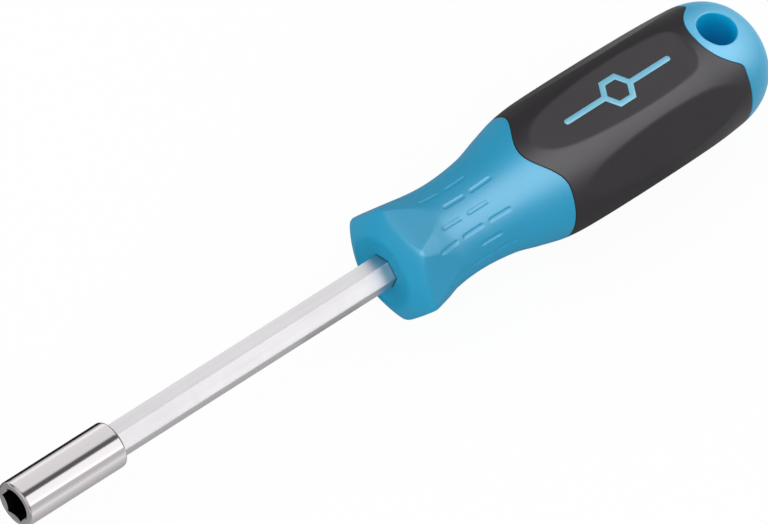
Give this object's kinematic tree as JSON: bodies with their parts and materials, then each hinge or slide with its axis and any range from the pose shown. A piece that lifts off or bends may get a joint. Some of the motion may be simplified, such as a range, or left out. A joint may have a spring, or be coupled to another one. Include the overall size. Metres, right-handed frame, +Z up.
{
  "type": "bit holder",
  "caption": "Hand bit holder: magnetic hex socket in a round sleeve on a fixed hex blade, in a waisted two-colour handle with flat panels and a hang hole.",
  "frame": {"origin": "bit seat: centre of the magnet's front face at the bottom of the hex socket", "axes": "+X along the blade from the socket towards the handle end, +Z up through the top panel and the hang hole, -Y to the side"},
  "size_m": [0.1933, 0.0302, 0.029],
  "materials": {
    "polished_steel": "bright polished steel",
    "satin_steel": "matt satin chrome on steel",
    "magnet_steel": "plated magnet face",
    "blue_plastic": "fine matt moulded blue plastic",
    "grip_rubber": "matt dark grey soft grip",
    "core_plastic": "hard dark core plastic",
    "mark_plastic": "light blue inlay"
  },
  "bodies": {
    "root": {"bit_sleeve": "polished_steel", "magnet": "magnet_steel", "shaft": "satin_steel", "handle_core": "core_plastic", "front_collar": "blue_plastic", "grip_shell": "grip_rubber", "end_cap": "blue_plastic", "panel_mark": "mark_plastic"}
  },
  "joints": []
}
